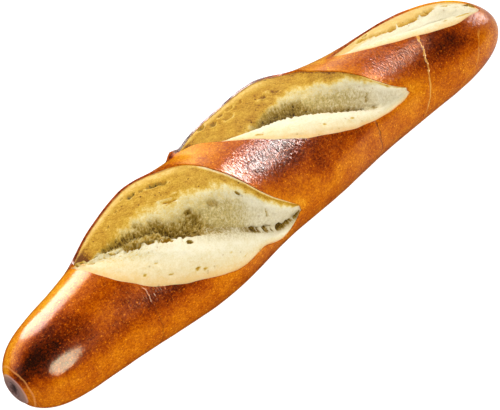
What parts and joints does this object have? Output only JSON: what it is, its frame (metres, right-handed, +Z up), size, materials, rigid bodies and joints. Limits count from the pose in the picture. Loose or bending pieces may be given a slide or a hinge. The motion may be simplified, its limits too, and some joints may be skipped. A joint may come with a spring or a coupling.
{
  "type": "pretzel stick",
  "caption": "Lye-baked bread stick with a glossy brown crust; slanting scores have opened along its top and show pale torn crumb.",
  "frame": {"origin": "middle of the flat underside that the stick rests on", "axes": "+X along the stick from its plain end to the end with a score, +Y to the back side where the crust ears stand, +Z up"},
  "size_m": [0.205, 0.0486, 0.0356],
  "materials": {
    "crust": "gloss"
  },
  "bodies": {
    "root": {"pretzel_stick": "crust"}
  },
  "joints": []
}
